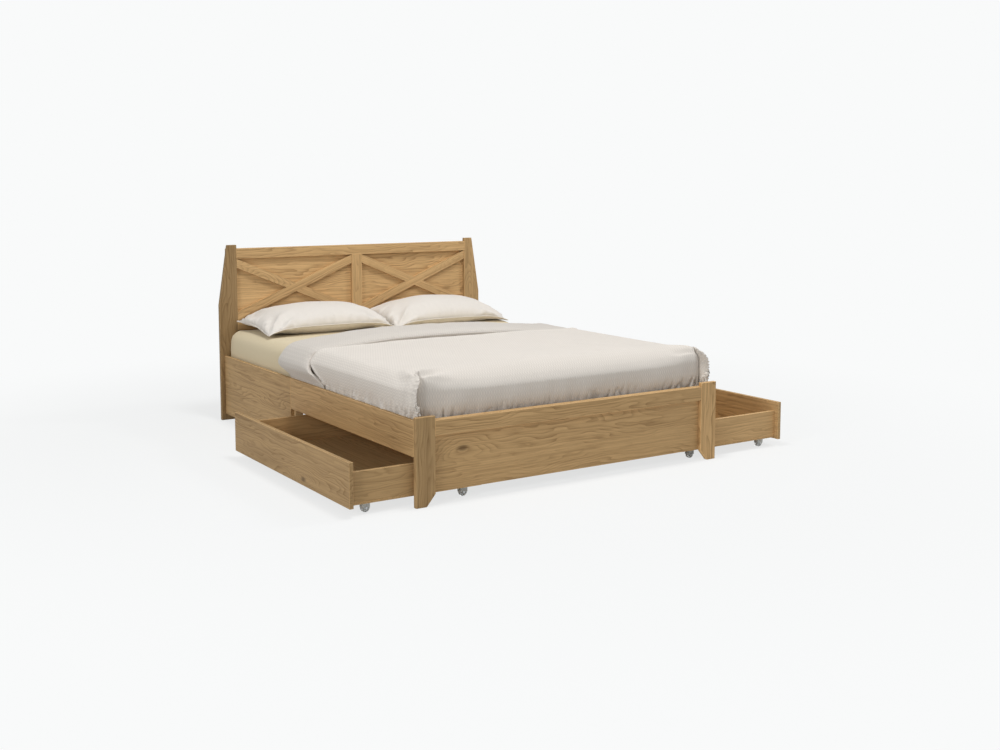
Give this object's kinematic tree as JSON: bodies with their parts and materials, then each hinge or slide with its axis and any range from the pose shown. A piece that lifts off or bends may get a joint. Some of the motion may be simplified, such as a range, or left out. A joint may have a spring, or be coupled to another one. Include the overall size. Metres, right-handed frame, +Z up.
{
  "type": "platform bed with storage drawers",
  "caption": "Oak-look double bed with a cross-braced headboard, slatted base, made-up bedding and a rolling storage drawer under each side.",
  "frame": {"origin": "on the floor under the middle leg, at the middle of the bed's width and length", "axes": "+Z up; +Y towards the headboard; +X towards the right-hand drawer"},
  "size_m": [2.335, 2.165, 0.951],
  "materials": {
    "oak_board": "oak-look board, satin, with knots and a fine grain",
    "drawer_board": "plain oak-look drawer board, matt",
    "pine": "planed pine, unfinished",
    "steel": "zinc-plated steel",
    "wheel_plastic": "milky nylon, semi-matt",
    "fork_plastic": "grey moulded plastic, satin",
    "webbing": "woven polyester tape",
    "mattress_fabric": "cream knitted sheet, matt",
    "pillow_cotton": "white cotton, matt, with a piped seam",
    "duvet_cotton": "white dobby cotton, matt, with a grey reverse"
  },
  "bodies": {
    "root": {"beam_hanger_foot": "steel", "beam_hanger_head": "steel", "brace_left_falling": "oak_board", "brace_left_rising": "oak_board", "brace_right_falling": "oak_board", "brace_right_rising": "oak_board", "bracket_screws": "steel", "center_beam": "pine", "center_leg_foot": "pine", "center_leg_head": "pine", "center_leg_middle": "pine", "corner_brackets": "steel", "duvet": "duvet_cotton", "footboard_panel": "oak_board", "footboard_post_left": "oak_board", "footboard_post_right": "oak_board", "footboard_top_rail": "oak_board", "headboard_cross_rail": "oak_board", "headboard_low_rail": "oak_board", "headboard_panel": "oak_board", "headboard_post_left": "oak_board", "headboard_post_right": "oak_board", "headboard_stile": "oak_board", "headboard_top_rail": "oak_board", "mattress": "mattress_fabric", "pillow_left": "pillow_cotton", "pillow_right": "pillow_cotton", "side_leg_left": "pine", "side_leg_right": "pine", "side_panel_left": "oak_board", "side_panel_right": "oak_board", "side_rail_left": "oak_board", "side_rail_right": "oak_board", "slat_ledger_left": "pine", "slat_ledger_right": "pine", "slat_webbing": "webbing", "slats": "pine"},
    "drawer_left": {"drawer_left_back": "drawer_board", "drawer_left_caster_axles": "steel", "drawer_left_caster_forks": "fork_plastic", "drawer_left_floor": "drawer_board", "drawer_left_front": "oak_board", "drawer_left_side_foot": "drawer_board", "drawer_left_side_head": "drawer_board"},
    "drawer_right": {"drawer_right_back": "drawer_board", "drawer_right_caster_axles": "steel", "drawer_right_caster_forks": "fork_plastic", "drawer_right_floor": "drawer_board", "drawer_right_front": "oak_board", "drawer_right_side_foot": "drawer_board", "drawer_right_side_head": "drawer_board"},
    "drawer_left_wheel_foot_inner": {"drawer_left_wheel_foot_inner": "wheel_plastic"},
    "drawer_left_wheel_foot_outer": {"drawer_left_wheel_foot_outer": "wheel_plastic"},
    "drawer_left_wheel_head_inner": {"drawer_left_wheel_head_inner": "wheel_plastic"},
    "drawer_left_wheel_head_outer": {"drawer_left_wheel_head_outer": "wheel_plastic"},
    "drawer_right_wheel_foot_inner": {"drawer_right_wheel_foot_inner": "wheel_plastic"},
    "drawer_right_wheel_foot_outer": {"drawer_right_wheel_foot_outer": "wheel_plastic"},
    "drawer_right_wheel_head_inner": {"drawer_right_wheel_head_inner": "wheel_plastic"},
    "drawer_right_wheel_head_outer": {"drawer_right_wheel_head_outer": "wheel_plastic"}
  },
  "joints": [
    {"name": "drawer_left_slide", "type": "slide", "parent": "root", "child": "drawer_left", "axis": [-1, 0, 0], "range_m": [-0.263, 0.317]},
    {"name": "drawer_right_slide", "type": "slide", "parent": "root", "child": "drawer_right", "axis": [1, 0, 0], "range_m": [-0.435, 0.145]},
    {"name": "drawer_left_wheel_foot_inner_roll", "type": "hinge", "parent": "drawer_left", "child": "drawer_left_wheel_foot_inner", "pos_m": [-0.5385, -1.005, 0.018], "axis": [0, 1, 0], "continuous": true},
    {"name": "drawer_left_wheel_foot_outer_roll", "type": "hinge", "parent": "drawer_left", "child": "drawer_left_wheel_foot_outer", "pos_m": [-0.9885, -1.005, 0.018], "axis": [0, 1, 0], "continuous": true},
    {"name": "drawer_left_wheel_head_inner_roll", "type": "hinge", "parent": "drawer_left", "child": "drawer_left_wheel_head_inner", "pos_m": [-0.5385, 0.099, 0.018], "axis": [0, 1, 0], "continuous": true},
    {"name": "drawer_left_wheel_head_outer_roll", "type": "hinge", "parent": "drawer_left", "child": "drawer_left_wheel_head_outer", "pos_m": [-0.9885, 0.099, 0.018], "axis": [0, 1, 0], "continuous": true},
    {"name": "drawer_right_wheel_foot_inner_roll", "type": "hinge", "parent": "drawer_right", "child": "drawer_right_wheel_foot_inner", "pos_m": [0.7105, -1.005, 0.018], "axis": [0, 1, 0], "continuous": true},
    {"name": "drawer_right_wheel_foot_outer_roll", "type": "hinge", "parent": "drawer_right", "child": "drawer_right_wheel_foot_outer", "pos_m": [1.1605, -1.005, 0.018], "axis": [0, 1, 0], "continuous": true},
    {"name": "drawer_right_wheel_head_inner_roll", "type": "hinge", "parent": "drawer_right", "child": "drawer_right_wheel_head_inner", "pos_m": [0.7105, 0.099, 0.018], "axis": [0, 1, 0], "continuous": true},
    {"name": "drawer_right_wheel_head_outer_roll", "type": "hinge", "parent": "drawer_right", "child": "drawer_right_wheel_head_outer", "pos_m": [1.1605, 0.099, 0.018], "axis": [0, 1, 0], "continuous": true}
  ],
  "couplings": [
    {"joint": "drawer_left_wheel_foot_inner_roll", "follows": "drawer_left_slide", "rad_per_m": -55.556},
    {"joint": "drawer_left_wheel_foot_outer_roll", "follows": "drawer_left_slide", "rad_per_m": -55.556},
    {"joint": "drawer_left_wheel_head_inner_roll", "follows": "drawer_left_slide", "rad_per_m": -55.556},
    {"joint": "drawer_left_wheel_head_outer_roll", "follows": "drawer_left_slide", "rad_per_m": -55.556},
    {"joint": "drawer_right_wheel_foot_inner_roll", "follows": "drawer_right_slide", "rad_per_m": 55.556},
    {"joint": "drawer_right_wheel_foot_outer_roll", "follows": "drawer_right_slide", "rad_per_m": 55.556},
    {"joint": "drawer_right_wheel_head_inner_roll", "follows": "drawer_right_slide", "rad_per_m": 55.556},
    {"joint": "drawer_right_wheel_head_outer_roll", "follows": "drawer_right_slide", "rad_per_m": 55.556}
  ]
}
